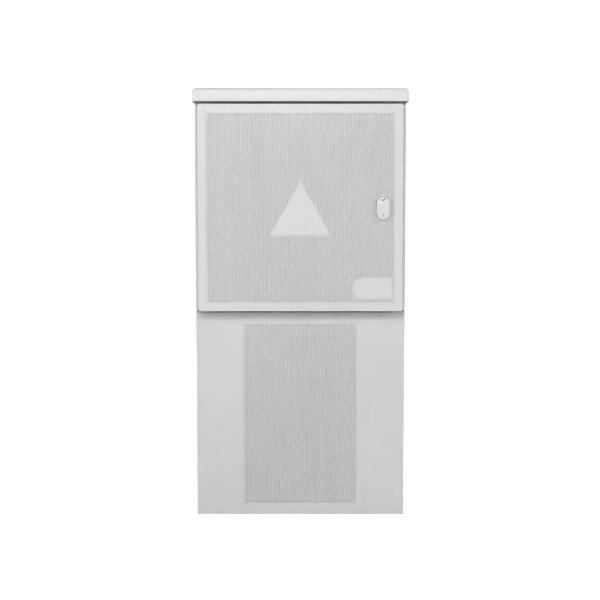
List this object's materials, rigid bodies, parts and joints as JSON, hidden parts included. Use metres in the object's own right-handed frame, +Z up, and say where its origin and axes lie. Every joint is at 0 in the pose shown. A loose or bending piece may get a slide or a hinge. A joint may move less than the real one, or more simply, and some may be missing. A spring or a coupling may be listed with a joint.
{
  "type": "roadside utility cabinet",
  "caption": "Pale grey moulded roadside cable cabinet on a tall plinth, with overhanging roof, ribbed hinged door with rod lock, fuse switches and busbars inside.",
  "frame": {"origin": "centre of the object's footprint at the plinth's underside", "axes": "+Z up, the door faces -Y, +X to the right seen from the front"},
  "size_m": [0.61, 0.28, 1.224],
  "materials": {
    "moulded_body": "pale grey glass-fibre moulding, light mould texture, satin",
    "moulded_door": "pale grey glass-fibre moulding, ribbed, satin",
    "moulded_plinth": "pale grey glass-fibre moulding, a shade darker, satin",
    "zinc_steel": "zinc-plated sheet, dull",
    "zinc_fastener": "zinc-plated fasteners",
    "lock_steel": "machined lock steel",
    "seal_rubber": "black foam rubber",
    "copper_bar": "bare copper, slightly tarnished",
    "slate_plastic": "dark grey insulating moulding",
    "dark_plastic": "near-black insulating moulding",
    "fuse_ceramic": "ivory steatite with silvered blades"
  },
  "bodies": {
    "cabinet": {"roof": "moulded_body", "left_wall": "moulded_body", "right_wall": "moulded_body", "rear_wall": "moulded_body", "front_frame": "moulded_body", "plinth_front": "moulded_plinth", "plinth_rear": "moulded_plinth", "plinth_left": "moulded_plinth", "plinth_right": "moulded_plinth", "upper_hinge_bracket": "zinc_steel", "lower_hinge_bracket": "zinc_steel", "upper_hinge_pin": "zinc_steel", "lower_hinge_pin": "zinc_steel", "mounting_plate": "zinc_steel", "cable_rail": "zinc_steel", "rail_brackets": "zinc_steel", "roof_screws": "zinc_fastener", "wall_bolts": "zinc_fastener", "hinge_bolts": "zinc_fastener", "plate_nuts": "zinc_fastener", "pen_bolts": "zinc_fastener", "plinth_bolts": "zinc_fastener", "joint_bolts": "zinc_fastener", "saddle_bolts": "zinc_fastener", "fuse_jaws": "copper_bar", "busbar_l1": "copper_bar", "busbar_l2": "copper_bar", "busbar_l3": "copper_bar", "pen_bar": "copper_bar", "plate_posts": "slate_plastic", "fuse_base_1": "slate_plastic", "fuse_base_2": "slate_plastic", "fuse_base_3": "slate_plastic", "busbar_supports": "slate_plastic", "pen_supports": "slate_plastic", "cable_saddles": "slate_plastic"},
    "door": {"door": "moulded_door", "door_seal": "seal_rubber", "upper_hinge_arm": "zinc_steel", "lower_hinge_arm": "zinc_steel", "escutcheon": "moulded_door", "lock_cover_pin": "lock_steel", "lock_case": "zinc_steel", "upper_rod_guide": "zinc_steel", "lower_rod_guide": "zinc_steel", "door_screws": "zinc_fastener"},
    "lock_cover": {"lock_cover": "moulded_door"},
    "lock_gear": {"lock_spindle": "lock_steel", "lock_pinion": "lock_steel"},
    "upper_rod": {"upper_rod": "zinc_steel"},
    "lower_rod": {"lower_rod": "zinc_steel"},
    "fuse_lid_1": {"fuse_lid_1": "dark_plastic", "fuse_links_1": "fuse_ceramic"},
    "fuse_lid_2": {"fuse_lid_2": "dark_plastic", "fuse_links_2": "fuse_ceramic"},
    "fuse_lid_3": {"fuse_lid_3": "dark_plastic", "fuse_links_3": "fuse_ceramic"}
  },
  "joints": [
    {"name": "door_hinge", "type": "hinge", "parent": "cabinet", "child": "door", "pos_m": [-0.295, -0.0855, 0.8885], "axis": [0, 0, -1], "range_deg": [0, 115]},
    {"name": "cover_pivot", "type": "hinge", "parent": "door", "child": "lock_cover", "pos_m": [0.2335, -0.1358, 0.9129], "axis": [0, 1, 0], "range_deg": [0, 110]},
    {"name": "lock_turn", "type": "hinge", "parent": "door", "child": "lock_gear", "pos_m": [0.2335, -0.11, 0.8885], "axis": [0, 1, 0], "range_deg": [0, 90]},
    {"name": "upper_rod_slide", "type": "slide", "parent": "door", "child": "upper_rod", "axis": [0, 0, 1], "range_m": [0, 0.01571]},
    {"name": "lower_rod_slide", "type": "slide", "parent": "door", "child": "lower_rod", "axis": [0, 0, -1], "range_m": [0, 0.01571]},
    {"name": "fuse_lid_1_hinge", "type": "hinge", "parent": "cabinet", "child": "fuse_lid_1", "pos_m": [-0.125, 0.062, 0.75], "axis": [1, 0, 0], "range_deg": [0, 90]},
    {"name": "fuse_lid_2_hinge", "type": "hinge", "parent": "cabinet", "child": "fuse_lid_2", "pos_m": [0, 0.062, 0.75], "axis": [1, 0, 0], "range_deg": [0, 90]},
    {"name": "fuse_lid_3_hinge", "type": "hinge", "parent": "cabinet", "child": "fuse_lid_3", "pos_m": [0.125, 0.062, 0.75], "axis": [1, 0, 0], "range_deg": [0, 90]}
  ],
  "couplings": [
    {"joint": "lock_turn", "follows": "upper_rod_slide", "rad_per_m": 100},
    {"joint": "lower_rod_slide", "follows": "upper_rod_slide", "ratio": 1}
  ]
}
